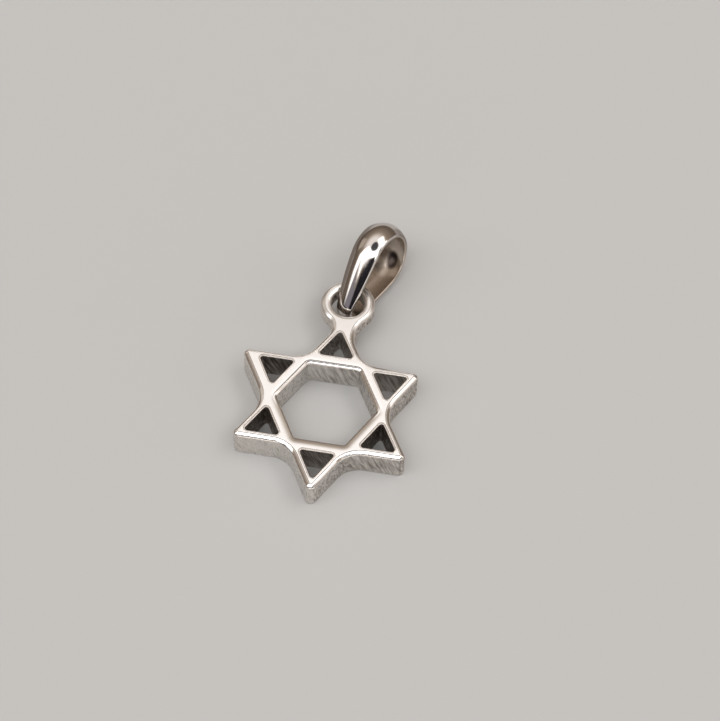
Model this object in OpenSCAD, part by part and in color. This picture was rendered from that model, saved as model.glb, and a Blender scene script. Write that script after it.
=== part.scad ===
// Star pendant with a teardrop bail, lying face up on a table as it is put down.
// The star and its eye are one silver casting. The bail is a closed loop of dished sheet
// that passes through the eye. All lengths are in millimetres.
// +Z is up, the table is at z = 0, and the origin is under the middle of the whole outline.

/* [Star] */
// From the star's middle to the corner where the two sides of a tip would meet
star_corner = 7.42; // [7:0.02:8.4]
// Thickness of the star from back to front
star_t = 2.4; // [2:0.05:3.4]
// Width of the bars along the outline, outside the small openings
bar_w = 0.58; // [0.5:0.02:0.8]
// How much wider the bar is on the left side of the upper left tip
stout_more = 0.42; // [0:0.02:0.5]
// Width of the bars between the middle opening and the small ones
inner_bar_w = 0.92; // [0.66:0.02:1.2]
// Radius that blunts each tip
tip_r = 0.42; // [0.34:0.01:0.6]
// Radius of the fillets where two bars cross on the outline
waist_r = 2; // [0.6:0.1:2.6]
// Corner radius of the small openings
small_corner_r = 0.16; // [0.08:0.02:0.3]
// Corner radius of the middle opening
middle_corner_r = 0.3; // [0.1:0.05:0.8]
// Rounding of the polished front edges
edge_r = 0.27; // [0.12:0.01:0.3]
// Rounding of the back edges
back_r = 0.1; // [0.05:0.01:0.2]

/* [Eye] */
// From the star's middle up to the middle of the eye
eye_y = 8.82; // [8.6:0.02:9.6]
// How far the eye sits to the right of the star's middle line
eye_x = 0.12; // [-0.3:0.02:0.3]
// Outside diameter of the eye
eye_d = 4; // [3.8:0.05:4.4]
// Diameter of the hole in the eye
eye_hole_d = 2.42; // [2.36:0.02:2.7]
// Radius of the fillet between the eye and the left side of the top tip
left_neck_r = 1; // [0.4:0.05:1.4]
// Radius of the fuller fillet between the eye and the right side of the top tip
right_neck_r = 2; // [0.4:0.1:2.4]
// Play left under the eye for the back leaf of the bail
leaf_play = 0.35; // [0.3:0.05:0.6]

/* [Bail] */
// Length of the bail over everything
bail_l = 7.95; // [7.4:0.05:8.8]
// Depth of the bail at its wide end, over both leaves
bail_depth = 5.55; // [5:0.05:6]
// Outside radius of the narrow end, which hooks in the eye
bail_end_r = 1.15; // [1.05:0.01:1.25]
// Width of the leaves where they are broadest
bail_w = 2.2; // [1.8:0.05:2.5]
// Width of the sheet at the narrow end
bail_end_w = 1.1; // [0.7:0.05:1.2]
// Thickness of the sheet along its middle line
bail_t = 0.5; // [0.4:0.02:0.6]
// Thickness of the sheet at its rims
bail_rim_t = 0.32; // [0.2:0.02:0.38]
// How far the rims are dished in from the middle line where the leaves are broadest
bail_dish = 0.4; // [0.2:0.02:0.5]

/* [Pose] */
// How far the bail is swung to the right about the eye, in degrees
bail_swing = 21.5; // [0:0.5:36]
// How far the bail leans to the left about its own length, in degrees
bail_lean = 11; // [0:0.5:12]
// Clear space between the bail and the bar of the eye that it holds
eye_clear = 0.08; // [0.04:0.01:0.1]

/* [Hidden] */

// Steps in a quarter of an edge rounding, in a fillet, along the eye and round its hole
edge_steps = 4;
fillet_steps = 6;
eye_steps = 32;
hole_steps = 48;
// How far a cutter stands out past the faces that it cuts
past = 1;

// The two triangles of the star give tips that point every 60 degrees, the top one first
tips = 6;
tip_turn = 360 / tips;
half_tip = tip_turn / 2;
function tip_angle(k) = 90 + tip_turn * k;

// Lines at side_d from the middle bound the outline, and lines at inner_d bound the openings.
// The left side of the stout tip, the next after the top one, stands further out.
side_d = star_corner * sin(half_tip);
stout_tip = 1;
function left_side_d(k) = side_d + (k == stout_tip ? stout_more : 0);
inner_d = side_d - bar_w;
small_base_d = inner_d + inner_bar_w;
small_middle_d = (inner_d / sin(half_tip) + 2 * small_base_d) / 3;
small_in_r = small_middle_d - small_base_d;
front_r = min(edge_r, bar_w / 2 - 0.01);

// The eye's back is set forward so that the bail's back leaf can lie under it
eye_c = [eye_x, eye_y];
eye_rise = bail_t + bail_dish + leaf_play;
eye_t = star_t - eye_rise;

function along(a) = [cos(a), sin(a)];
function mirrored(c) = [-c.x, c.y];

// Points on an arc, without the first and last few where a neighbour has them
function arc(c, r, from, to, steps, skip_first = 0, skip_last = 0) =
    [for (i = [skip_first:steps - skip_last]) c + r * along(from + (to - from) * i / steps)];

// Middle of the fillet of radius r that touches the top tip's right side and an eye at e, and how
// far it turns
function neck_middle(e, r) =
    let (normal = along(half_tip), out = side_d + r - e * normal, reach = eye_d / 2 + r)
    e + out * normal + sqrt(reach * reach - out * out) * along(half_tip - 90);
function neck_turn(e, r) = let (toward = e - neck_middle(e, r)) atan2(toward.y, -toward.x);

right_neck = neck_middle(eye_c, right_neck_r);
right_turn = neck_turn(eye_c, right_neck_r);
left_neck = mirrored(neck_middle(mirrored(eye_c), left_neck_r));
left_turn = neck_turn(mirrored(eye_c), left_neck_r);

// The part of the outline round the eye, from the neck's right side over to its left side
function eye_side(inset) = concat(
    arc(right_neck, right_neck_r + inset, 180, 180 - right_turn, fillet_steps),
    arc(eye_c, eye_d / 2 - inset, -right_turn, 180 + left_turn, eye_steps, 1, 1),
    arc(left_neck, left_neck_r + inset, left_turn, 0, fillet_steps));

// Where two lines meet that face the angles a and b and lie p and q from the star's middle
function meeting(a, p, b, q) = (p * [sin(b), -cos(b)] + q * [-sin(a), cos(a)]) / sin(b - a);

// The waist between the tip k and the next
function waist(k, inset) = let (a = tip_angle(k))
    arc(meeting(a + tip_turn, left_side_d(k) + waist_r, a, side_d + waist_r), waist_r + inset,
        a + 180 + tip_turn, a + 180, fillet_steps);

function tip(k, inset) = let (a = tip_angle(k))
    arc(meeting(a - tip_turn, side_d - tip_r, a + tip_turn, left_side_d(k) - tip_r), tip_r - inset,
        a - tip_turn, a + tip_turn, fillet_steps);

// The rest of the outline, counterclockwise: six waists with five tips between them
function star_side(inset) = concat(
    arc(left_neck, left_neck_r + inset, 0, -half_tip, fillet_steps / 2, 1),
    [for (k = [0:tips - 1]) each concat(k == 0 ? [] : tip(k, inset), waist(k, inset))],
    arc(right_neck, right_neck_r + inset, 180 + half_tip, 180, fillet_steps / 2, 0, 1));

function outline(inset) = concat(eye_side(inset), star_side(inset));

// A rounded polygon with its corner arcs about points at corner_d from c
function rounded(c, corner_d, sides, r, first) =
    [for (k = [0:sides - 1]) let (a = first + 360 * k / sides)
        each arc(c + corner_d * along(a), r, a - 180 / sides, a + 180 / sides, edge_steps)];

function small_opening(k, inset) =
    let (a = tip_angle(k))
    rounded(small_middle_d * along(a), (small_in_r - small_corner_r) / sin(half_tip), 3,
        small_corner_r + inset, a);

function middle_opening(inset) =
    rounded([0, 0], (inner_d - middle_corner_r) / cos(half_tip), tips, middle_corner_r + inset, 0);

// Inset and height of each line round an edge, from the back face to the front face
back_lines = [for (i = [0:2]) let (a = 45 * i) [back_r * (1 - sin(a)), back_r * (1 - cos(a))]];
front_lines = [for (i = [0:edge_steps]) let (a = 90 * i / edge_steps)
    [front_r * (1 - cos(a)), star_t - front_r * (1 - sin(a))]];

// Side faces between loops of n points each, two triangles to a cell, with outsides outward
function side_faces(n, loops) =
    [for (j = [0:loops - 2]) for (i = [0:n - 1]) let (a = j * n + i, b = j * n + (i + 1) % n)
        each [[a, a + n, b + n], [a, b + n, b]]];

// The lines that an opening's cutter follows through the star, standing out past both faces
cut_lines = concat([[back_r, -past]], back_lines, front_lines, [[front_r, star_t + past]]);

// Cuts an opening and rounds its edges; loops holds its outline at each of the lines above
module opening_cutter(loops) {
    n = len(loops[0]);
    last = (len(loops) - 1) * n;
    polyhedron(
        [for (j = [0:len(loops) - 1]) each [for (p = loops[j]) [p.x, p.y, cut_lines[j][1]]]],
        concat(side_faces(n, len(loops)),
            [[for (i = [0:n - 1]) i]],
            [[for (i = [n - 1:-1:0]) last + i]]));
}

// Cuts the round hole of the eye and rounds its edges
module eye_cutter() {
    r = eye_hole_d / 2;
    translate(eye_c) rotate_extrude($fn = hole_steps)
        polygon(concat(
            [[0, -past], [r + back_r, -past]],
            [for (line = back_lines) [r + line[0], line[1] + eye_rise]],
            [for (line = front_lines) [r + line[0], line[1]]],
            [[r + front_r, star_t + past], [0, star_t + past]]));
}

// How far the back face has risen at y, between the neck's narrowest place and the eye
rise_from = max(left_neck.y, right_neck.y);
rise_to = min(left_neck.y + left_neck_r * sin(left_turn),
    right_neck.y + right_neck_r * sin(right_turn));
function back_rise(y) = eye_rise * min(1, max(0, (y - rise_from) / (rise_to - rise_from)));

// The casting before its openings are cut. Its sides are loops of the outline from back to front.
// Its faces are closed by fans about the middles of the star and the eye, which meet at the neck.
module casting() {
    n = len(outline(0));
    neck = len(eye_side(0)) - 1;
    loops = concat(
        [for (line = back_lines) [for (p = outline(line[0])) [p.x, p.y, line[1] + back_rise(p.y)]]],
        [for (line = front_lines) [for (p = outline(line[0])) [p.x, p.y, line[1]]]]);
    front = (len(loops) - 1) * n;
    middles = len(loops) * n;
    polyhedron(
        concat([for (loop = loops) each loop],
            [[0, 0, 0], [eye_x, eye_y, eye_rise], [0, 0, star_t], [eye_x, eye_y, star_t]]),
        concat(side_faces(n, len(loops)),
            [for (i = [0:n - 1]) [middles + (i < neck ? 1 : 0), i, (i + 1) % n]],
            [[middles + 1, neck, 0], [middles, 0, neck]],
            [for (i = [0:n - 1]) [middles + (i < neck ? 3 : 2), front + (i + 1) % n, front + i]],
            [[middles + 3, front, front + neck], [middles + 2, front + neck, front]]));
}

module star() {
    color("silver") difference() {
        casting();
        for (k = [0:tips - 1]) opening_cutter([for (line = cut_lines) small_opening(k, line[0])]);
        opening_cutter([for (line = cut_lines) middle_opening(line[0])]);
        eye_cutter();
    }
}

// Bail, seen from its side: a small circle at the narrow end and a large one at the wide end, and
// two straight leaves that touch both. These are the middle line of the sheet.
end_line_r = bail_end_r - bail_t / 2;
wide_line_r = (bail_depth - bail_t) / 2;
wide_y = bail_l - bail_depth / 2;
flare = asin((wide_line_r - end_line_r) / (wide_y - bail_end_r));
// Steps of the middle line round the narrow end, round the wide end and along each leaf
end_steps = 10;
wide_steps = 26;
leaf_steps = 16;
// Steps across the width of the sheet
cross_steps = 8;
// Share of the bail's length over which it broadens
broad_share = 0.7;
// How far the middle of each rim stands out past its edges, as a share of the rim's thickness
rim_bulge = 0.25;

// Each station of the middle line holds its place and the angle at which its outside faces
function round_end(y, r, from, to, steps) =
    [for (i = [0:steps]) let (a = from + (to - from) * i / steps) [[y, 0] + r * along(a), a]];
function leaf(from, to, a) =
    [for (i = [1:leaf_steps - 1]) [from + (to - from) * i / leaf_steps, a]];

stations =
    let (wide = round_end(wide_y, wide_line_r, -90 - flare, 90 + flare, wide_steps),
        end = round_end(bail_end_r, end_line_r, 90 + flare, 270 - flare, end_steps))
    concat(wide, leaf(wide[wide_steps][0], end[0][0], 90 + flare),
        end, leaf(end[end_steps][0], wide[0][0], -90 - flare));

function width_at(y) =
    bail_end_w + (bail_w - bail_end_w) * (1 - pow(1 - min(1, y / bail_l / broad_share), 2));

// A section of the sheet: crossings[i] gives a place over the width, from -1 to 1, and the side of
// the sheet, 1 outside, -1 inside and 0 at the middle of a rim
crossings = concat(
    [for (i = [0:cross_steps]) [2 * i / cross_steps - 1, 1]], [[1, 0]],
    [for (i = [0:cross_steps]) [1 - 2 * i / cross_steps, -1]], [[-1, 0]]);

function section_point(station, crossing) =
    let (w = width_at(station[0].x), bulge = bail_rim_t * rim_bulge, g = crossing[0],
        across = g * (w / 2 - (crossing[1] == 0 ? 0 : bulge)),
        sheet = bail_t - (bail_t - bail_rim_t) * g * g,
        middle = (bail_t - sheet) / 2 - bail_dish * pow(g * w / bail_w, 2),
        out = middle + crossing[1] * sheet / 2)
    [across, station[0].x + out * cos(station[1]), station[0].y + out * sin(station[1])];

bail_points = [for (s = stations) each [for (c = crossings) section_point(s, c)]];

// Places the bail: hold is the distance from its narrow end to the middle of the eye's bar
function turn_x(a) = [[1, 0, 0, 0], [0, cos(a), -sin(a), 0], [0, sin(a), cos(a), 0], [0, 0, 0, 1]];
function turn_y(a) = [[cos(a), 0, sin(a), 0], [0, 1, 0, 0], [-sin(a), 0, cos(a), 0], [0, 0, 0, 1]];
function turn_z(a) = [[cos(a), -sin(a), 0, 0], [sin(a), cos(a), 0, 0], [0, 0, 1, 0], [0, 0, 0, 1]];
function shift(v) = [[1, 0, 0, v.x], [0, 1, 0, v.y], [0, 0, 1, v.z], [0, 0, 0, 1]];

bar_middle_r = (eye_d + eye_hole_d) / 4;
bar_middle_z = eye_rise + eye_t / 2;

function placing(hold, pitch) =
    shift([eye_x, eye_y, bar_middle_z]) * turn_z(-bail_swing) * shift([0, bar_middle_r, 0])
    * turn_x(pitch) * turn_y(-bail_lean) * shift([0, -hold, 0]);

function placed(points, place) =
    [for (p = points) let (q = place * [p.x, p.y, p.z, 1]) [q.x, q.y, q.z]];

// The bail comes down about the eye until it touches the table. Each step halves the span.
pitch_steps = 14;
function lowest(hold, pitch) = min([for (q = placed(bail_points, placing(hold, pitch))) q.z]);
function resting_pitch(hold, low, high, steps) =
    let (pitch = (low + high) / 2)
    steps == 0 ? pitch
    : lowest(hold, pitch) < 0 ? resting_pitch(hold, pitch, high, steps - 1)
    : resting_pitch(hold, low, pitch, steps - 1);
function pitch_at(hold) = resting_pitch(hold, 0, flare, pitch_steps);

// Clear space between a point and the bar of the eye, a ring of square section with rounded edges
function bar_gap(q) =
    let (r = norm([q.x, q.y] - eye_c), e = q.z < bar_middle_z ? back_r : front_r)
    norm([max(0, e + max(eye_hole_d / 2 - r, r - eye_d / 2)),
          max(0, e + abs(q.z - bar_middle_z) - eye_t / 2)]) - e;
function clear_space(hold) =
    min([for (q = placed(bail_points, placing(hold, pitch_at(hold)))) bar_gap(q)]);

// The bail is drawn out of the eye as far as the bar lets it: the first hold that leaves it clear
hold_step = 0.1;
hold_steps = 6;
function first_clear(hold) =
    hold > bail_end_r + eye_hole_d || clear_space(hold) >= eye_clear ? hold : first_clear(hold + hold_step);
function drawn_out(low, high, steps) =
    let (hold = (low + high) / 2)
    steps == 0 ? high
    : clear_space(hold) < eye_clear ? drawn_out(hold, high, steps - 1)
    : drawn_out(low, hold, steps - 1);

clear_hold = first_clear(bail_end_r);
bail_hold = drawn_out(clear_hold - hold_step, clear_hold, hold_steps);
bail_place = placing(bail_hold, pitch_at(bail_hold));
resting_points = placed(bail_points, bail_place);

// Middle of the box round the whole outline, as seen from above
outline_points = concat(outline(0), resting_points);
middle = [for (axis = [0, 1])
    let (places = [for (p = outline_points) p[axis]])
    (min(places) + max(places)) / 2];

module bail() {
    n = len(crossings);
    m = len(stations);
    color("gainsboro")
        polyhedron(resting_points,
            [for (j = [0:m - 1]) for (i = [0:n - 1])
                let (a = j * n + i, b = j * n + (i + 1) % n, c = (j + 1) % m * n + (i + 1) % n,
                    d = (j + 1) % m * n + i)
                each [[a, b, c], [a, c, d]]]);
}

translate(-middle) star();
translate(-middle) bail();
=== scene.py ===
import math

import bmesh
import bpy
import numpy as np
from mathutils import Matrix, Vector
from mathutils.geometry import delaunay_2d_cdt


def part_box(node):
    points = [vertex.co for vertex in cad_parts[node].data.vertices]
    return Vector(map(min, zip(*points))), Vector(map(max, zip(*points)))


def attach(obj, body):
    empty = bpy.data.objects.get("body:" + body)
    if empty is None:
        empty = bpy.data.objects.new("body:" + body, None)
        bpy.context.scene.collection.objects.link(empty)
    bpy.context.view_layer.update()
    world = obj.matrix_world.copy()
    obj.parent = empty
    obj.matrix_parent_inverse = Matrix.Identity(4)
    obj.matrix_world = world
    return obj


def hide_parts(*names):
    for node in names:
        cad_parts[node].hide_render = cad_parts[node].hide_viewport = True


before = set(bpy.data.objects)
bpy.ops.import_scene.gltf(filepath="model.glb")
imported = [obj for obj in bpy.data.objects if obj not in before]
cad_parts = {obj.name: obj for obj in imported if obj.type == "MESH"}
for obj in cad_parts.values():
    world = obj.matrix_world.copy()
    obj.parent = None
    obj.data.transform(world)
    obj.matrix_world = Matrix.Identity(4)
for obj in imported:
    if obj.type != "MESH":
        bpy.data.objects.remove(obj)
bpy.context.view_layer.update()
MM = 0.001


# The star
# One casting in sterling silver, with a large opening in its middle, a small one in each tip and an
# eye at the top. It was filed and buffed by hand, which left bevels and fine grooves along its front
# edges, file marks on its walls and the raw skin of the casting inside the small openings.
star_corner = 7.42      # middle of the star to where the two sides of a tip would meet
star_t = 2.4
bar_w = 0.58            # bars along the outline
stout_tip = 1           # the upper left tip, counted from the top one, has a wider bar on its left
stout_more = 0.42
inner_bar_w = 0.92      # bars between the middle opening and the small ones
tip_r = 0.42
waist_r = 2.0           # fillets where two bars cross on the outline
small_corner_r = 0.16
middle_corner_r = 0.3
eye_x, eye_y = 0.12, 8.82
eye_d = 4.0
eye_hole_d = 2.42
left_neck_r = 1.0       # fillets between the eye and the top tip, the right one fuller
right_neck_r = 2.0
back_r = 0.1            # rounding of the back edges
tips = 6
tip_turn = 360 / tips
half_tip = tip_turn / 2

side_d = star_corner * math.sin(math.radians(half_tip))
inner_d = side_d - bar_w
small_base_d = inner_d + inner_bar_w
small_middle_d = (inner_d / math.sin(math.radians(half_tip)) + 2 * small_base_d) / 3
small_in_r = small_middle_d - small_base_d

# The star's middle in the frame, from the lowest point of its bottom tip and from its right tips
tip_d = star_corner - tip_r / math.sin(math.radians(half_tip))
star_low, star_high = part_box("star")
star_middle = Vector((star_high.x / MM - tip_d * math.cos(math.radians(half_tip)) - tip_r,
                      star_low.y / MM + tip_d + tip_r, 0))
eye_rise = 1.25         # the eye's back above the table, with room for the bail's back leaf

arc_step = 0.07         # longest step along an arc
arc_least = 6           # fewest steps of an arc
run_step = 0.14         # longest step along a straight side
grid_step = 0.16        # spacing of the points inside the faces
grid_clear = 0.6        # share of that spacing that stays free of them along an edge
grid_batches = 20       # their distances to the edges are worked out in parts, to save memory
same_point = 1e-7       # points closer than this are one


def along(angle):
    return np.array([math.cos(math.radians(angle)), math.sin(math.radians(angle))])


def arc(centre, radius, grown, start, end, skip_first=0, skip_last=0):
    """Points of an arc whose radius is grown by an inset. Its steps depend on the bare radius alone."""
    steps = max(arc_least, math.ceil(math.radians(abs(end - start)) * radius / arc_step))
    angles = np.radians(np.linspace(start, end, steps + 1))[skip_first:steps + 1 - skip_last]
    return np.asarray(centre) + (radius + grown) * np.column_stack([np.cos(angles), np.sin(angles)])


def meeting(a, p, b, q):
    """Where two lines meet that face the angles a and b and lie p and q from the star's middle."""
    return np.linalg.solve(np.array([along(a), along(b)]), [p, q])


def neck(eye, radius):
    """Middle of the fillet between the top tip's right side and the eye, and how far it turns."""
    normal = along(half_tip)
    out = side_d + radius - eye @ normal
    reach = eye_d / 2 + radius
    middle = eye + out * normal + math.sqrt(reach ** 2 - out ** 2) * along(half_tip - 90)
    toward = eye - middle
    return middle, math.degrees(math.atan2(toward[1], -toward[0]))


flip = np.array([-1.0, 1.0])
eye_c = np.array([eye_x, eye_y])
right_neck, right_turn = neck(eye_c, right_neck_r)
left_neck, left_turn = neck(eye_c * flip, left_neck_r)
left_neck = left_neck * flip


def outline(inset):
    """The outline, counterclockwise, drawn in by inset: the eye, then the five free tips."""
    runs = [
        arc(right_neck, right_neck_r, inset, 180, 180 - right_turn),
        arc(eye_c, eye_d / 2, -inset, -right_turn, 180 + left_turn, 1, 1),
        arc(left_neck, left_neck_r, inset, left_turn, -half_tip),
    ]
    for k in range(tips):
        tip = 90 + tip_turn * k
        left_d = side_d + stout_more * (k == stout_tip)
        if k:
            point = meeting(tip - tip_turn, side_d - tip_r, tip + tip_turn, left_d - tip_r)
            runs.append(arc(point, tip_r, -inset, tip - tip_turn, tip + tip_turn))
        waist = meeting(tip + tip_turn, left_d + waist_r, tip, side_d + waist_r)
        runs.append(arc(waist, waist_r, inset, tip + 180 + tip_turn, tip + 180))
    runs.append(arc(right_neck, right_neck_r, inset, 180 + half_tip, 180, 0, 1))
    return np.concatenate(runs)


def rounded(centre, corner_d, sides, radius, grown, first):
    """A regular opening with round corners, the first of them at the angle first."""
    turns = [first + 360 * k / sides for k in range(sides)]
    half = 180 / sides
    return np.concatenate([arc(centre + corner_d * along(a), radius, grown, a - half, a + half)
                           for a in turns])


def small_opening(k):
    a = 90 + tip_turn * k
    corner_d = (small_in_r - small_corner_r) / math.sin(math.radians(half_tip))
    return lambda inset: rounded(small_middle_d * along(a), corner_d, 3, small_corner_r, inset, a)


def middle_opening(inset):
    corner_d = (inner_d - middle_corner_r) / math.cos(math.radians(half_tip))
    return rounded(np.zeros(2), corner_d, tips, middle_corner_r, inset, 0)


def eye_hole(inset):
    return arc(eye_c, eye_hole_d / 2, inset, 0, 360, 0, 1)


line_steps = 3          # lines over a front edge from one of its tilts to the next


def front_lines(knots):
    """Inset, tilts and depths of each line over a front edge, on the lower and the upper half."""
    knots = np.array(knots)
    at = np.arange(line_steps * (len(knots) - 1) + 1) / line_steps
    insets, *tilts = (np.interp(at, np.arange(len(knots)), column) for column in knots.T)
    drops = [np.diff(insets) * np.tan(np.radians((tilt[1:] + tilt[:-1]) / 2)) for tilt in tilts]
    depths = [np.append(np.cumsum(drop[::-1])[::-1], 0) for drop in drops]
    return insets, np.array(tilts).T, np.array(depths).T


# How the wheel left each front edge: the inset from the wall, and the tilt of the surface there in
# degrees on the lower and the upper half of the loop. A fine groove runs where a steep bevel meets the
# front, so the tilt turns back there. The middle opening has a wide soft bevel below, without one.
outline_edge = [(0, 82, 82), (0.03, 66, 66), (0.07, 53, 53), (0.12, 38, 38), (0.26, 28, 28),
                (0.28, -12, -12), (0.33, -14, -14), (0.35, 10, 10), (0.38, 0, 0)]
middle_edge = [(0, 72, 70), (0.03, 52, 56), (0.06, 38, 40), (0.11, 25, 37), (0.18, 15, 46),
               (0.2, 14, -16), (0.29, 12, -20), (0.32, 11, 12), (0.36, 9.5, 3), (0.58, 0, 0)]
eye_edge = [(0, 84, 84), (0.03, 64, 64), (0.09, 44, 44), (0.18, 24, 24), (0.3, 4, 4), (0.34, 0, 0)]
small_edge = [(0, 76, 84), (0.03, 56, 58), (0.06, 34, 18), (0.09, 14, 6), (0.12, 0, 0),
              (0.13, -16, -12), (0.165, -16, -12), (0.175, 4, 4), (0.19, 0, 0)]
# The small openings are the rawest, and dark with painted shade as well. From the top one
# counterclockwise, how well each is buffed, from 0 for the skin of the casting to 1 for the polish of the
# front; a lower value also paints more shade in that opening.
small_buffed_and_shade = (0.2, 0.16, 0.03, 0.22, 0.0, 0.34)
# Each edge loop: its points at an inset, the height of its middle on the star, the work on its front
# edge, and how well its wall is buffed on the left and on the right. The low values on the walls are
# partly their rougher finish and partly painted shade, for the shaded table they reflect; the eye's
# hole is dark with painted shade, and the right walls are painted darker as that side lies in shade.
edges = [(outline, 0, outline_edge, 0.46, 0.25), (middle_opening, 0, middle_edge, 0.38, 0.28),
         (eye_hole, eye_y, eye_edge, 0.15, 0.15)]
edges += [(small_opening(k), small_middle_d * along(90 + tip_turn * k)[1], small_edge, buffed_and_shade, buffed_and_shade)
          for k, buffed_and_shade in enumerate(small_buffed_and_shade)]
half_turn = 1.0         # the lower half's work passes into the upper half's over twice this height
side_turn = 2.0         # a wall's polish and painted shade on the left pass into those on the right over twice this width
back_buffed = 0.6
back_steps = 5          # steps round a back edge
buffed_run = 0.12       # inset by which a front edge has its full polish
groove_tilt = 20        # tilt back at which a groove takes its full painted shade
groove_shade = 0.5    # how much darker a groove is painted, painted shade in the crease
wall_guard = 0.05       # a line this far along the wall keeps the wall's shading flat


def eased(value, low, high):
    """From 0 at low to 1 at high, without a corner at either."""
    share = np.clip((value - low) / (high - low), 0, 1)
    return share * share * (3 - 2 * share)


def rise(y):
    """How far the back face has risen at y, from the neck's narrowest place up to the eye."""
    low = max(left_neck[1], right_neck[1])
    high = min(left_neck[1] + left_neck_r * math.sin(math.radians(left_turn)),
               right_neck[1] + right_neck_r * math.sin(math.radians(right_turn)))
    return eye_rise * eased(y, low, high)


def divided(loops):
    """The same loops with points added along their straight sides."""
    gaps = np.linalg.norm(np.roll(loops[0], -1, 0) - loops[0], axis=1)
    counts = np.maximum(1, np.ceil(gaps / run_step)).astype(int)
    index = np.repeat(np.arange(len(counts)), counts)
    share = np.concatenate([np.arange(n) / n for n in counts])[:, None]
    return [loop[index] * (1 - share) + np.roll(loop, -1, 0)[index] * share for loop in loops]


def inside_of(loop, points):
    """Whether each point is inside a loop, from the sides that a line to its right crosses."""
    a, b = loop, np.roll(loop, -1, 0)
    x, y = points[:, 0:1], points[:, 1:2]
    spans = (a[:, 1] > y) != (b[:, 1] > y)
    height = np.where(b[:, 1] == a[:, 1], 1.0, b[:, 1] - a[:, 1])
    at = a[:, 0] + (y - a[:, 1]) / height * (b[:, 0] - a[:, 0])
    return (spans & (x < at)).sum(1) % 2 == 1


def face_of(loops):
    """The face bounded by the first loop, with the others as its openings: its points, those of the
    loops first, its triangles, and where each loop starts among the points."""
    low, high = loops[0].min(0), loops[0].max(0)
    row = np.arange(low[0], high[0], grid_step)
    heights = np.arange(low[1], high[1], grid_step * math.sqrt(3) / 2)
    grid = np.concatenate([np.column_stack([row + grid_step / 2 * (i % 2), np.full(len(row), y)])
                           for i, y in enumerate(heights)])
    border = np.concatenate(loops)
    near = np.concatenate([np.linalg.norm(part[:, None] - border[None], axis=2).min(1)
                           for part in np.array_split(grid, grid_batches)])
    points = np.concatenate([border, grid[near > grid_step * grid_clear]])
    starts = np.cumsum([0] + [len(loop) for loop in loops[:-1]])
    sides = [(s + i, s + (i + 1) % len(loop))
             for s, loop in zip(starts, loops) for i in range(len(loop))]
    flat, _, triangles, origins, _, _ = delaunay_2d_cdt([Vector(p) for p in points], sides, [], 0,
                                                        same_point, True)
    triangles = np.array(triangles)
    middles = np.array([tuple(p) for p in flat])[triangles].mean(1)
    kept = inside_of(loops[0], middles)
    for loop in loops[1:]:
        kept &= ~inside_of(loop, middles)
    source = np.array([o[0] for o in origins])
    return points, source[triangles[kept]], starts


# The edge loops, each with its rounding at the back, its wall and the work on its front edge
verts, faces, polish_and_shade = [], [], []
front_rings, back_rings = [], []
back = [(back_r * (1 - math.sin(a)), back_r * (1 - math.cos(a)))
        for a in np.linspace(0, math.pi / 2, back_steps + 1)]
for shape, middle_y, knots, left_buffed_and_shade, right_buffed_and_shade in edges:
    is_opening = shape is not outline
    front, tilts, depths = front_lines(knots)
    insets = [d for d, _ in back] + [0, 0] + list(front)
    loops = divided([shape(0)] + [shape(d) for d in insets])[1:]
    # The back is level round each opening, and lifted at the eye
    opening_lift = np.full(len(loops[0]), eye_rise * (shape is eye_hole))
    lifts = opening_lift if is_opening else rise(loops[0][:, 1])
    heights = [lifts + z for _, z in back]
    upper = eased(loops[0][:, 1] - middle_y, -half_turn, half_turn)
    # Painted shade: the walls on the right are painted darker than those on the left, as the table on
    # that side lies in shade
    right = eased(loops[0][:, 0], -side_turn, side_turn)
    wall_buffed_and_shade = left_buffed_and_shade + (right_buffed_and_shade - left_buffed_and_shade) * right
    fronts = [star_t - low - (high - low) * upper for low, high in depths]
    grooves = [np.clip(-(low + (high - low) * upper) / groove_tilt, 0, 1) for low, high in tilts]
    heights += [lifts + back_r + wall_guard, fronts[0] - wall_guard] + fronts
    # How well each loop is buffed. The lower values on the walls and in the grooves also paint shade
    # there.
    polish_and_shade_by_loop = [back_buffed] * len(back) + [wall_buffed_and_shade] * 2
    polish_and_shade_by_loop += [wall_buffed_and_shade + (1 - wall_buffed_and_shade) * min(1, d / buffed_run) - groove_shade * groove
               for d, groove in zip(front, grooves)]
    n = len(loops[0])
    start = sum(len(v) for v in verts)
    for loop, z, loop_polish_and_shade in zip(loops, heights, polish_and_shade_by_loop):
        verts.append(np.column_stack([loop, z]))
        polish_and_shade.append(np.full(n, loop_polish_and_shade))
    for j in range(len(loops) - 1):
        a = start + j * n + np.arange(n)
        b = start + j * n + (np.arange(n) + 1) % n
        quads = np.column_stack([a, b, b + n, a + n])
        faces += [tuple(q) for q in (quads[:, ::-1] if is_opening else quads).tolist()]
    back_rings.append((loops[0], start))
    front_rings.append((loops[-1], start + (len(loops) - 1) * n))

# The front and the back between the loops
for rings, is_front in ((front_rings, True), (back_rings, False)):
    points, triangles, starts = face_of([loop for loop, _ in rings])
    borders = sum(len(loop) for loop, _ in rings)
    index = np.empty(len(points), int)
    for (loop, start), s in zip(rings, starts):
        index[s:s + len(loop)] = start + np.arange(len(loop))
    inner = points[borders:]
    index[borders:] = sum(len(v) for v in verts) + np.arange(len(inner))
    verts.append(np.column_stack([inner, np.full(len(inner), star_t) if is_front else rise(inner[:, 1])]))
    polish_and_shade.append(np.full(len(inner), 1.0 if is_front else back_buffed))
    triangles = index[triangles]
    faces += [tuple(t) for t in (triangles if is_front else triangles[:, ::-1]).tolist()]


def piece_from(name, points, polygons):
    """A smooth-shaded mesh object in metres, its points given in millimetres about the star's middle."""
    mesh = bpy.data.meshes.new(name)
    mesh.from_pydata([tuple((Vector(p) + star_middle) * MM) for p in points], [], polygons)
    mesh.shade_smooth()
    mesh.update()
    piece = bpy.data.objects.new(name, mesh)
    bpy.context.scene.collection.objects.link(piece)
    return piece


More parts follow.
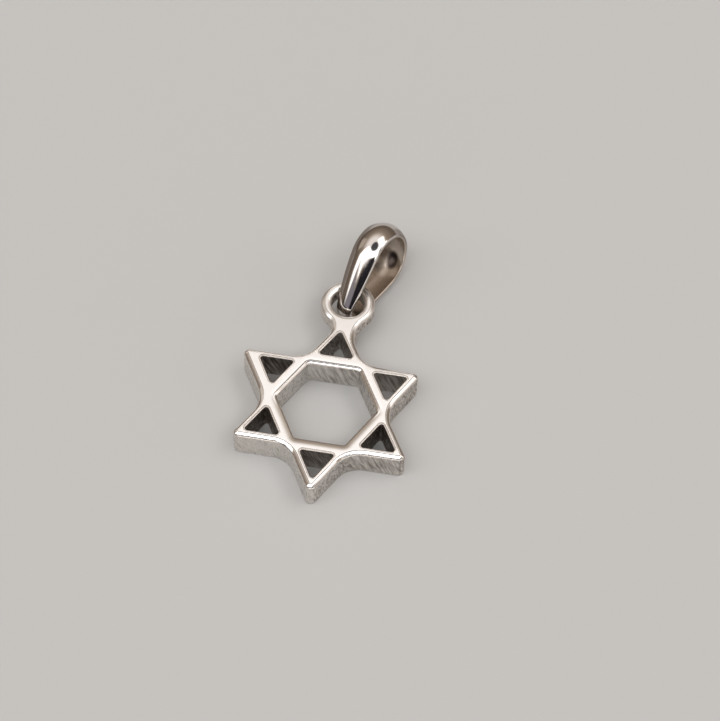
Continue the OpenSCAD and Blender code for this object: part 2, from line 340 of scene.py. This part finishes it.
star_points = np.concatenate(verts)
star = piece_from("polished_star", star_points, faces)
satin = eased(star_points[:, 1], eye_y - eye_d, eye_y - eye_d / 2)
for name, values in (("buffed_and_shade", np.concatenate(polish_and_shade)), ("satin", satin)):
    star.data.attributes.new(name, "FLOAT", "POINT").data.foreach_set("value", values)


def linear(hex_colour):
    """An sRGB hex colour as linear RGBA."""
    parts = [int(hex_colour[i:i + 2], 16) / 255 for i in (1, 3, 5)]
    return [c / 12.92 if c <= 0.04045 else ((c + 0.055) / 1.055) ** 2.4 for c in parts] + [1.0]


def add(tree, kind, links=None, **settings):
    """A node with its settings and its inputs, each fed by a node, a socket or a plain value."""
    node = tree.nodes.new(kind)
    for name, value in settings.items():
        setattr(node, name, value)
    for socket, source in (links or {}).items():
        if isinstance(source, bpy.types.Node):
            source = source.outputs[0]
        if isinstance(source, bpy.types.NodeSocket):
            tree.links.new(source, node.inputs[socket])
        else:
            node.inputs[socket].default_value = source
    return node


# Cast sterling silver, filed and then buffed by hand. The faces are close to a mirror with soft
# ripples from the wheel. The walls keep file marks, and the raw recesses are dull, and dark partly
# from their skin and partly with painted shade.
raw_rough, buffed_rough = 0.5, 0.07
satin_rough = 0.2       # added on the eye
mark_wide, mark_long, mark_slant = 0.15 * MM, 1.3 * MM, -24
mark_contrast = 0.27    # how far the marks change the polish of a raw wall up and down
mark_deep = 0.025 * MM
ripple_deep = 0.006 * MM
silver = bpy.data.materials.new("hand_buffed_cast_sterling_silver")
silver.use_nodes = True
tree = silver.node_tree
shader = tree.nodes["Principled BSDF"]
shader.inputs["Metallic"].default_value = 1.0
spot = add(tree, "ShaderNodeTexCoord").outputs["Object"]
buffed_and_shade = add(tree, "ShaderNodeAttribute", attribute_name="buffed_and_shade").outputs["Fac"]
# File marks run aslant down the walls
stretched = add(tree, "ShaderNodeMapping", {"Vector": spot, "Rotation": (0, math.radians(mark_slant), 0),
                "Scale": (mark_wide, mark_wide, mark_long)}, vector_type="TEXTURE")
marks = add(tree, "ShaderNodeTexNoise", {"Vector": stretched, "Scale": 1.0, "Detail": 4.0,
            "Roughness": 0.6})
raw = add(tree, "ShaderNodeMapRange", {"Value": buffed_and_shade, "From Min": 1.0, "From Max": 0.5})
uneven = add(tree, "ShaderNodeMapRange", {"Value": marks, "From Min": 0.3, "From Max": 0.7,
             "To Min": -mark_contrast, "To Max": mark_contrast})
wear_and_shade = add(tree, "ShaderNodeMath", {0: uneven, 1: raw, 2: buffed_and_shade}, operation="MULTIPLY_ADD")
# From the dark skin of the casting to the bright buffed face. The darker end also carries painted shade
# on the walls, in the grooves and in the openings.
colours = add(tree, "ShaderNodeValToRGB", {"Fac": wear_and_shade})
for at, colour in ((0.0, "#7C726A"), (0.45, "#A89F94"), (0.75, "#CFC8C0"), (1.0, "#E4DFDA")):
    stops = colours.color_ramp.elements
    stop = stops.new(at) if 0 < at < 1 else stops[round(at)]
    stop.color = linear(colour)
tree.links.new(colours.outputs["Color"], shader.inputs["Base Color"])
dull = add(tree, "ShaderNodeMapRange", {"Value": wear_and_shade, "From Min": 0.0, "From Max": 1.0,
           "To Min": raw_rough, "To Max": buffed_rough})
# The eye is satin, as the wheel only brushed it
satin = add(tree, "ShaderNodeAttribute", attribute_name="satin").outputs["Fac"]
rough = add(tree, "ShaderNodeMath", {0: satin, 1: satin_rough, 2: dull}, operation="MULTIPLY_ADD")
tree.links.new(rough.outputs[0], shader.inputs["Roughness"])
# The wheel's ripples, 0.9 to a millimetre
ripples = add(tree, "ShaderNodeTexNoise", {"Vector": spot, "Scale": 0.9 / MM, "Detail": 2.0})
rippled = add(tree, "ShaderNodeBump", {"Height": ripples, "Strength": 1.0, "Distance": ripple_deep})
scored = add(tree, "ShaderNodeMath", {0: marks, 1: raw}, operation="MULTIPLY")
filed = add(tree, "ShaderNodeBump", {"Height": scored, "Strength": 1.0, "Distance": mark_deep,
            "Normal": rippled})
tree.links.new(filed.outputs["Normal"], shader.inputs["Normal"])
star.data.materials.append(silver)
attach(star, "root")
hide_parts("star")


# The bail
# A closed teardrop loop of dished silver sheet, pressed, bent and soldered shut behind the narrow
# end, then brought to a high polish. It hooks through the eye and rests on its back leaf.
bail_sizes = {
    "Length": 7.95 * MM,
    "Depth": 5.55 * MM,
    "End radius": 1.15 * MM,
    "Leaf radius": 26.0 * MM,   # the leaves belly out a little between the two round ends
    "Broad width": 2.2 * MM,
    "End width": 1.1 * MM,
    "Broad share": 0.7,         # share of the length over which the sheet widens
    "Sheet": 0.5 * MM,
    "Rim": 0.32 * MM,
    "Rim bulge": 0.08 * MM,
    "Dish": 0.4 * MM,
    "Hollow place": 1.1,        # middle of the painted dark reflection in the hollow inside, in lengths over which the sheet widens
    "Hollow aside": 0.1,        # how far that is right of the middle line, in halves of the sheet's width
    "Hollow length": 0.13,      # half its length and half its width, in the same measures
    "Hollow width": 0.46,
    "Stations": 240,
    "Section step": 0.05 * MM,
}
bail_swing = 21.5
bail_lean = 11.0
bail_pitch = 18.7705    # how far the bail comes down until it touches the table
bail_hold = 2.31875     # its narrow end to the middle of the eye's bar

group = bpy.data.node_groups.new("teardrop_bail", "GeometryNodeTree")
group.interface.new_socket("Geometry", in_out="INPUT", socket_type="NodeSocketGeometry")
sockets = {}
for name, size in bail_sizes.items():
    kind = "NodeSocketInt" if isinstance(size, int) else "NodeSocketFloat"
    sockets[name] = group.interface.new_socket(name, in_out="INPUT", socket_type=kind).identifier
sockets["Material"] = group.interface.new_socket("Material", in_out="INPUT",
                                                 socket_type="NodeSocketMaterial").identifier
group.interface.new_socket("Geometry", in_out="OUTPUT", socket_type="NodeSocketGeometry")
given = add(group, "NodeGroupInput").outputs
sizes = {name: given[name] for name in bail_sizes}

# Working of the middle line, a line each: its name, the operation and what goes into it
for name, operation, *values in (
        ("half sheet", "MULTIPLY", "Sheet", 0.5),
        ("end line radius", "SUBTRACT", "End radius", "half sheet"),
        ("outer wide radius", "MULTIPLY", "Depth", 0.5),
        ("wide line radius", "SUBTRACT", "outer wide radius", "half sheet"),
        ("wide middle", "SUBTRACT", "Length", "outer wide radius"),
        ("apart", "SUBTRACT", "wide middle", "End radius"),
        ("leaf to wide", "SUBTRACT", "Leaf radius", "wide line radius"),
        ("leaf to end", "SUBTRACT", "Leaf radius", "end line radius"),
        ("wide squared", "MULTIPLY", "leaf to wide", "leaf to wide"),
        ("end squared", "MULTIPLY", "leaf to end", "leaf to end"),
        ("apart squared", "MULTIPLY", "apart", "apart"),
        ("squares", "SUBTRACT", "end squared", "wide squared"),
        ("all squares", "ADD", "squares", "apart squared"),
        ("twice apart", "ADD", "apart", "apart"),
        ("leaf along", "DIVIDE", "all squares", "twice apart"),
        ("along squared", "MULTIPLY", "leaf along", "leaf along"),
        ("down squared", "SUBTRACT", "end squared", "along squared"),
        ("leaf down", "SQRT", "down squared"),
        ("leaf up", "MULTIPLY", "leaf down", -1.0),
        ("leaf middle", "ADD", "leaf along", "End radius"),
        ("wide back", "SUBTRACT", "apart", "leaf along"),
        ("wide turn", "ARCTAN2", "leaf down", "wide back"),
        ("end back", "MULTIPLY", "leaf along", -1.0),
        ("end turn", "ARCTAN2", "leaf down", "end back"),
        ("wide start", "MULTIPLY", "wide turn", -1.0),
        ("wide sweep", "MULTIPLY", "wide turn", 2.0),
        ("leaf sweep", "SUBTRACT", "end turn", "wide turn"),
        ("end turns", "MULTIPLY", "end turn", 2.0),
        ("end sweep", "SUBTRACT", 2 * math.pi, "end turns"),
        ("back start", "MULTIPLY", "end turn", -1.0)):
    sizes[name] = add(group, "ShaderNodeMath", {i: sizes.get(v, v) for i, v in enumerate(values)},
                      operation=operation)

# The middle line as seen from the bail's side: the wide end, one leaf, the narrow end, the other leaf
arcs = []
for steps, radius, start, sweep, middle, height in (
        (300, "wide line radius", "wide start", "wide sweep", "wide middle", 0.0),
        (200, "Leaf radius", "wide turn", "leaf sweep", "leaf middle", "leaf up"),
        (200, "end line radius", "end turn", "end sweep", "End radius", 0.0),
        (200, "Leaf radius", "back start", "leaf sweep", "leaf middle", "leaf down")):
    part = add(group, "GeometryNodeCurveArc", {"Resolution": steps, "Radius": sizes[radius],
               "Start Angle": sizes[start], "Sweep Angle": sizes[sweep]})
    spot = add(group, "ShaderNodeCombineXYZ", {0: sizes[middle], 1: sizes.get(height, height)})
    arcs.append(add(group, "GeometryNodeTransform", {"Geometry": part, "Translation": spot}))
joined = add(group, "GeometryNodeJoinGeometry")
for part in reversed(arcs):
    group.links.new(part.outputs[0], joined.inputs[0])
dots = add(group, "GeometryNodeCurveToPoints", {"Curve": joined}, mode="EVALUATED")
line = add(group, "GeometryNodePointsToCurves", {"Points": dots})
closed = add(group, "GeometryNodeSetSplineCyclic", {"Geometry": line, "Cyclic": True})
path = add(group, "GeometryNodeResampleCurve", {"Curve": closed, "Count": given["Stations"]})
place = add(group, "GeometryNodeInputPosition")
tangent = add(group, "GeometryNodeInputTangent")
outward = add(group, "ShaderNodeVectorMath", {0: tangent, 1: (0.0, 0.0, 1.0)}, operation="CROSS_PRODUCT")
path_kept = add(group, "GeometryNodeCaptureAttribute", domain="POINT")
path_kept.capture_items.new("VECTOR", "Place")
path_kept.capture_items.new("VECTOR", "Outward")
for socket, source in ((0, path), ("Place", place), ("Outward", outward)):
    group.links.new(source.outputs[0], path_kept.inputs[socket])

# The section of the sheet: a flat bar with full round rims, which is dished further down
section = add(group, "GeometryNodeCurvePrimitiveQuadrilateral", {"Width": given["Broad width"],
              "Height": given["Rim"]})
# A little less than half, so that the fillets of a rim do not meet
half_rim = add(group, "ShaderNodeMath", {0: given["Rim"], 1: 0.499}, operation="MULTIPLY")
round_rims = add(group, "GeometryNodeFilletCurve", {"Curve": section, "Count": 8, "Radius": half_rim},
                 mode="POLY")
section_line = add(group, "GeometryNodeResampleCurve", {"Curve": round_rims,
                   "Length": given["Section step"]}, mode="LENGTH")
section_kept = add(group, "GeometryNodeCaptureAttribute", domain="POINT")
section_kept.capture_items.new("VECTOR", "Section")
for socket, source in ((0, section_line), ("Section", place)):
    group.links.new(source.outputs[0], section_kept.inputs[socket])

swept = add(group, "GeometryNodeCurveToMesh", {"Curve": path_kept.outputs[0],
            "Profile Curve": section_kept.outputs[0]})
for kept, first, second in ((path_kept.outputs["Place"], "along", "up"),
                            (path_kept.outputs["Outward"], "out along", "out up"),
                            (section_kept.outputs["Section"], "cut across", "cut through")):
    parts = add(group, "ShaderNodeSeparateXYZ", {0: kept})
    sizes[first], sizes[second] = parts.outputs[0], parts.outputs[1]

# Working of the dished section, as narrow as the sheet is there, and of the place of the painted dark
# reflection in the hollow
for name, operation, *values in (
        ("broad length", "MULTIPLY", "Length", "Broad share"),
        ("toward broad", "DIVIDE", "along", "broad length"),
        ("short of broad", "SUBTRACT", 1.0, "toward broad"),
        ("still narrow", "MAXIMUM", "short of broad", 0.0),
        ("narrow squared", "MULTIPLY", "still narrow", "still narrow"),
        ("broadness", "SUBTRACT", 1.0, "narrow squared"),
        ("widening", "SUBTRACT", "Broad width", "End width"),
        ("widened", "MULTIPLY", "broadness", "widening"),
        ("width", "ADD", "End width", "widened"),
        ("half width", "MULTIPLY", "width", 0.5),
        ("width share", "DIVIDE", "width", "Broad width"),
        ("half broad", "MULTIPLY", "Broad width", 0.5),
        ("rim radius", "MULTIPLY", "Rim", 0.5),
        ("flat half", "SUBTRACT", "half broad", "rim radius"),
        ("over flat", "DIVIDE", "cut across", "flat half"),
        ("not left of", "MAXIMUM", "over flat", -1.0),
        ("across", "MINIMUM", "not left of", 1.0),
        ("flat across", "MULTIPLY", "across", "flat half"),
        ("on the rim", "SUBTRACT", "cut across", "flat across"),
        ("rim shape", "DIVIDE", "Rim bulge", "rim radius"),
        ("rim across", "MULTIPLY", "on the rim", "rim shape"),
        ("narrow flat", "SUBTRACT", "half width", "Rim bulge"),
        ("sheet across", "MULTIPLY", "across", "narrow flat"),
        ("sideways", "ADD", "sheet across", "rim across"),
        ("across squared", "MULTIPLY", "across", "across"),
        ("thinning", "SUBTRACT", "Sheet", "Rim"),
        ("thinned", "MULTIPLY", "across squared", "thinning"),
        ("sheet here", "SUBTRACT", "Sheet", "thinned"),
        ("half thinned", "MULTIPLY", "thinned", 0.5),
        ("share squared", "MULTIPLY", "width share", "width share"),
        ("dish share", "MULTIPLY", "across squared", "share squared"),
        ("dished", "MULTIPLY", "Dish", "dish share"),
        ("sheet middle", "SUBTRACT", "half thinned", "dished"),
        ("through share", "DIVIDE", "cut through", "Rim"),
        ("through", "MULTIPLY", "through share", "sheet here"),
        ("outward", "ADD", "sheet middle", "through"),
        ("moved along", "MULTIPLY_ADD", "out along", "outward", "along"),
        ("moved up", "MULTIPLY_ADD", "out up", "outward", "up"),
        ("past hollow", "SUBTRACT", "toward broad", "Hollow place"),
        ("hollow lengths", "DIVIDE", "past hollow", "Hollow length"),
        ("lengths squared", "MULTIPLY", "hollow lengths", "hollow lengths"),
        ("right of hollow", "SUBTRACT", "across", "Hollow aside"),
        ("hollow widths", "DIVIDE", "right of hollow", "Hollow width"),
        ("widths squared", "MULTIPLY", "hollow widths", "hollow widths"),
        ("off hollow", "ADD", "lengths squared", "widths squared")):
    sizes[name] = add(group, "ShaderNodeMath", {i: sizes.get(v, v) for i, v in enumerate(values)},
                      operation=operation)
spot = add(group, "ShaderNodeCombineXYZ", {0: sizes["sideways"], 1: sizes["moved along"],
           2: sizes["moved up"]})
moved = add(group, "GeometryNodeSetPosition", {"Geometry": swept, "Position": spot})
merged = add(group, "GeometryNodeMergeByDistance", {"Geometry": moved, "Distance": 0.001 * MM})
# Marks for the material: the inner side, where painted shade goes on the outer left flank and on
# the right one round the bend, and where a dark reflection is painted in the hollow inside. Each fades in
# from bare to full.
inner, left_flank, right_flank, round_bend, hollow = (
    add(group, "ShaderNodeMapRange", {"Value": sizes[name], "From Min": bare, "From Max": full})
    for name, bare, full in (("through share", 0.1, -0.4), ("across", -0.5, -0.7), ("across", 0.55, 0.75),
                             ("toward broad", 1.26, 1.36), ("off hollow", 1.3, 0.5)))
bend_flank = add(group, "ShaderNodeMath", {0: right_flank, 1: round_bend}, operation="MULTIPLY")
flank = add(group, "ShaderNodeMath", {0: left_flank, 1: bend_flank}, operation="MAXIMUM")
marked = merged
for name, mark in (("inner", inner), ("flank", flank), ("hollow", hollow)):
    marked = add(group, "GeometryNodeStoreNamedAttribute", {"Geometry": marked, "Name": name,
                 "Value": mark}, data_type="FLOAT", domain="POINT")
smooth = add(group, "GeometryNodeSetShadeSmooth", {"Geometry": marked})
real = add(group, "GeometryNodeRealizeInstances", {"Geometry": smooth})
finished = add(group, "GeometryNodeSetMaterial", {"Geometry": real, "Material": given["Material"]})
add(group, "NodeGroupOutput", {"Geometry": finished})

# Pressed sterling silver sheet. The outside has the mirror of a high polish, and the inside, where no
# wheel reaches, keeps the softer, warmer skin of the sheet.
polish_rough, scuff_rough = 0.06, 0.13      # between the hairline scratches and on them
inside_rough = 0.15     # added inside
flank_rough = 0.12    # added on the painted shade of the outer flanks
wave_deep = 0.004 * MM
bail_silver = bpy.data.materials.new("high_polished_sterling_silver_sheet")
bail_silver.use_nodes = True
tree = bail_silver.node_tree
shader = tree.nodes["Principled BSDF"]
shader.inputs["Metallic"].default_value = 1.0
spot = add(tree, "ShaderNodeTexCoord").outputs["Object"]
inside = add(tree, "ShaderNodeAttribute", attribute_name="inner").outputs["Fac"]
tone = add(tree, "ShaderNodeMix", {0: inside, 6: linear("#D2CCC7"), 7: linear("#BAAEA2")},
           data_type="RGBA")
# Painted shade: the left flank, and the right one round the bend, are painted darker outside, for the
# shaded table they reflect
outside = add(tree, "ShaderNodeMath", {0: 1.0, 1: inside}, operation="SUBTRACT")
flank = add(tree, "ShaderNodeAttribute", attribute_name="flank").outputs["Fac"]
kept = add(tree, "ShaderNodeMath", {0: flank, 1: outside}, operation="MULTIPLY")
flank_shaded = add(tree, "ShaderNodeMix", {0: kept, 6: tone.outputs[2], 7: linear("#8E837B")},
                data_type="RGBA")
# A painted dark reflection inside each leaf, in the deepest of the hollow next to the bend
hollow = add(tree, "ShaderNodeAttribute", attribute_name="hollow").outputs["Fac"]
dark_reflection = add(tree, "ShaderNodeMath", {0: hollow, 1: inside}, operation="MULTIPLY")
darkened = add(tree, "ShaderNodeMix", {0: dark_reflection, 6: flank_shaded.outputs[2], 7: linear("#4A413D")},
               data_type="RGBA")
tree.links.new(darkened.outputs[2], shader.inputs["Base Color"])
# Hairline scratches from wear, 7 to a millimetre
hair = add(tree, "ShaderNodeTexNoise", {"Vector": spot, "Scale": 7 / MM, "Detail": 3.0})
scuffed = add(tree, "ShaderNodeMapRange", {"Value": hair, "From Min": 0.35, "From Max": 0.75,
              "To Min": polish_rough, "To Max": scuff_rough})
skin = add(tree, "ShaderNodeMath", {0: inside, 1: inside_rough, 2: scuffed}, operation="MULTIPLY_ADD")
worn = add(tree, "ShaderNodeMath", {0: kept, 1: flank_rough, 2: skin}, operation="MULTIPLY_ADD")
tree.links.new(worn.outputs[0], shader.inputs["Roughness"])
# Faint waves left by the press, 0.7 to a millimetre
ripples = add(tree, "ShaderNodeTexNoise", {"Vector": spot, "Scale": 0.7 / MM, "Detail": 1.0})
rippled = add(tree, "ShaderNodeBump", {"Height": ripples, "Strength": 1.0, "Distance": wave_deep})
tree.links.new(rippled.outputs["Normal"], shader.inputs["Normal"])
maker = bpy.data.objects.new("bail_maker", bpy.data.meshes.new("bail_maker"))
bpy.context.scene.collection.objects.link(maker)
modifier = maker.modifiers.new("Teardrop bail", "NODES")
modifier.node_group = group
for name, size in bail_sizes.items():
    modifier[sockets[name]] = size
modifier[sockets["Material"]] = bail_silver
depsgraph = bpy.context.evaluated_depsgraph_get()
mesh = bpy.data.meshes.new_from_object(maker.evaluated_get(depsgraph))
bpy.data.objects.remove(maker)

# From its own place, narrow end first, to where it lies hooked round the eye's bar
eye_bar_r = (eye_d + eye_hole_d) / 4
eye_bar_z = (eye_rise + star_t) / 2
to_eye = Matrix.Translation((Vector((eye_x, eye_y, eye_bar_z)) + star_middle) * MM)
resting = (to_eye @ Matrix.Rotation(math.radians(-bail_swing), 4, "Z")
           @ Matrix.Translation((0, eye_bar_r * MM, 0))
           @ Matrix.Rotation(math.radians(bail_pitch), 4, "X")
           @ Matrix.Rotation(math.radians(-bail_lean), 4, "Y")
           @ Matrix.Translation((0, -bail_hold * MM, 0)))
mesh.transform(resting)
shell = bmesh.new()
shell.from_mesh(mesh)
bmesh.ops.recalc_face_normals(shell, faces=shell.faces)
shell.to_mesh(mesh)
shell.free()
mesh.name = "polished_bail"
bail = bpy.data.objects.new("polished_bail", mesh)
bpy.context.scene.collection.objects.link(bail)
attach(bail, "root")
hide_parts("bail")


# The table, the light and the camera
# A pale matt table top under a light tent, as small jewellery is photographed: white above, with
# an opening at the top, warm room tones round the sides, and a few cards and lamps in front.
table_half = 200 * MM
corners = ((-1, -1), (1, -1), (1, 1), (-1, 1))
table_mesh = bpy.data.meshes.new("table")
table_mesh.from_pydata([(x * table_half, y * table_half, 0) for x, y in corners], [], [(0, 1, 2, 3)])
table = bpy.data.objects.new("table", table_mesh)
bpy.context.scene.collection.objects.link(table)
# Painted board, matt, so that it gives soft shadows and no glare
board = bpy.data.materials.new("matt_painted_board")
board.use_nodes = True
shader = board.node_tree.nodes["Principled BSDF"]
shader.inputs["Base Color"].default_value = linear("#C4C4C3")
shader.inputs["Roughness"].default_value = 0.9
table_mesh.materials.append(board)

# The tent's own tone at each height above the table, in degrees: colour and strength
tent = [(-10, "#7A6D62", 1.0), (0, "#74675C", 1.0), (15, "#786B60", 1.0), (25, "#8F8175", 1.0),
        (35, "#988A7D", 1.0), (43, "#B1A497", 1.0), (48, "#CBBFB4", 1.0), (53, "#E4DAD1", 1.0),
        (58, "#F4ECE6", 1.06), (66, "#FAF5F2", 1.2), (90, "#FAF5F2", 1.2)]
# Lamps and cards: where the middle is (degrees round from the front toward the right, and up), half
# the width and height, the softness of the edge, colour and strength
panels = [
    ("front light", 0, 61, 78, 16, 5, "#FFFFFF", 2.5),
    ("key light", 100, 58, 42, 11, 8, "#FFFBF8", 2.8),
    ("right strip", 98, 20, 12, 24, 8, "#FFF6F0", 1.1),
    ("left wall", -114, 26, 14, 13, 8, "#C4B8AC", 1.0),
    ("low front", 10, 8, 60, 14, 6, "#F4F0EC", 2.2),
    ("left light", -48, 46, 22, 7, 5, "#FFFFFF", 2.2),
    ("grey card", -32, 28, 22, 9, 6, "#918D96", 1.0),
    ("dark card", 22, 31, 38, 14, 6, "#26242A", 1.0),
    ("brown corner", -48, 11, 22, 10, 6, "#30241F", 1.0),
    ("left strip", -66, 38, 11, 17, 10, "#FFFFFF", 2.2),
]
# The round opening at the top of the tent, through which the unlit ceiling shows: where its middle
# is, half its width and the softness of its edge in degrees, its colour and strength
opening_turn, opening_up, opening_half, opening_soft = 60, 78, 15, 6
opening_colour, opening_power = "#6A6A70", 0.6
world = bpy.data.worlds.new("light_tent")
world.use_nodes = True
tree = world.node_tree
look = add(tree, "ShaderNodeTexCoord").outputs["Generated"]
way = add(tree, "ShaderNodeSeparateXYZ", {0: look})
forward = add(tree, "ShaderNodeMath", {0: way.outputs[1], 1: -1.0}, operation="MULTIPLY")
round_angle = add(tree, "ShaderNodeMath", {0: way.outputs[0], 1: forward}, operation="ARCTAN2")
turn = add(tree, "ShaderNodeMath", {0: round_angle}, operation="DEGREES")
up_angle = add(tree, "ShaderNodeMath", {0: way.outputs[2]}, operation="ARCSINE")
height = add(tree, "ShaderNodeMath", {0: up_angle}, operation="DEGREES")
tone = linear(tent[0][1])
power = tent[0][2]
for (low, _, _), (high, colour, strength) in zip(tent, tent[1:]):
    share = add(tree, "ShaderNodeMapRange", {"Value": height, "From Min": low, "From Max": high})
    tone = add(tree, "ShaderNodeMix", {0: share, 6: tone, 7: linear(colour)},
               data_type="RGBA").outputs[2]
    power = add(tree, "ShaderNodeMix", {0: share, 2: power, 3: strength}).outputs[0]
for _, middle, up, half_wide, half_high, soft, colour, strength in panels:
    masks = []
    for angle, at, half in ((turn, middle, half_wide), (height, up, half_high)):
        off = add(tree, "ShaderNodeMath", {0: angle, 1: at}, operation="SUBTRACT")
        size = add(tree, "ShaderNodeMath", {0: off}, operation="ABSOLUTE")
        masks.append(add(tree, "ShaderNodeMapRange", {"Value": size, "From Min": half + soft / 2,
                         "From Max": half - soft / 2}, interpolation_type="SMOOTHSTEP"))
    share = add(tree, "ShaderNodeMath", {0: masks[0], 1: masks[1]}, operation="MULTIPLY")
    tone = add(tree, "ShaderNodeMix", {0: share, 6: tone, 7: linear(colour)},
               data_type="RGBA").outputs[2]
    power = add(tree, "ShaderNodeMix", {0: share, 2: power, 3: strength}).outputs[0]
sight = Vector((0, 0, 1))
sight.rotate(Matrix.Rotation(math.radians(90 - opening_up), 3, "X"))
sight.rotate(Matrix.Rotation(math.radians(opening_turn), 3, "Z"))
facing = add(tree, "ShaderNodeVectorMath", {0: look, 1: sight}, operation="DOT_PRODUCT")
away_angle = add(tree, "ShaderNodeMath", {0: facing.outputs["Value"]}, operation="ARCCOSINE")
away = add(tree, "ShaderNodeMath", {0: away_angle}, operation="DEGREES")
share = add(tree, "ShaderNodeMapRange", {"Value": away, "From Min": opening_half + opening_soft / 2,
            "From Max": opening_half - opening_soft / 2}, interpolation_type="SMOOTHSTEP")
tone = add(tree, "ShaderNodeMix", {0: share, 6: tone, 7: linear(opening_colour)},
           data_type="RGBA").outputs[2]
power = add(tree, "ShaderNodeMix", {0: share, 2: power, 3: opening_power}).outputs[0]
tree.links.new(tone, tree.nodes["Background"].inputs["Color"])
tree.links.new(power, tree.nodes["Background"].inputs["Strength"])
bpy.context.scene.world = world
bpy.context.scene.view_settings.view_transform = "Standard"

# The camera looks down on the star from its lower side, a little from the right
camera_turn = 6.534         # degrees round from the star's lower side toward its right
camera_height = 57.59       # degrees above the table
camera_roll = 2.942
camera_aim = star_middle + Vector((1.785, 3.948, star_t))    # a point at the height of the star's front
camera_back = 144.442       # millimetres from the aim
camera_data = bpy.data.cameras.new("camera")
camera_data.lens = 99.86
camera_data.sensor_width = 36
camera_data.clip_start = 0.01
camera = bpy.data.objects.new("camera", camera_data)
bpy.context.scene.collection.objects.link(camera)
aimed = (Matrix.Rotation(math.radians(camera_turn), 4, "Z")
         @ Matrix.Rotation(math.radians(90 - camera_height), 4, "X")
         @ Matrix.Rotation(math.radians(camera_roll), 4, "Z"))
camera.matrix_world = (Matrix.Translation(camera_aim * MM) @ aimed
                       @ Matrix.Translation((0, 0, camera_back * MM)))
bpy.context.scene.camera = camera
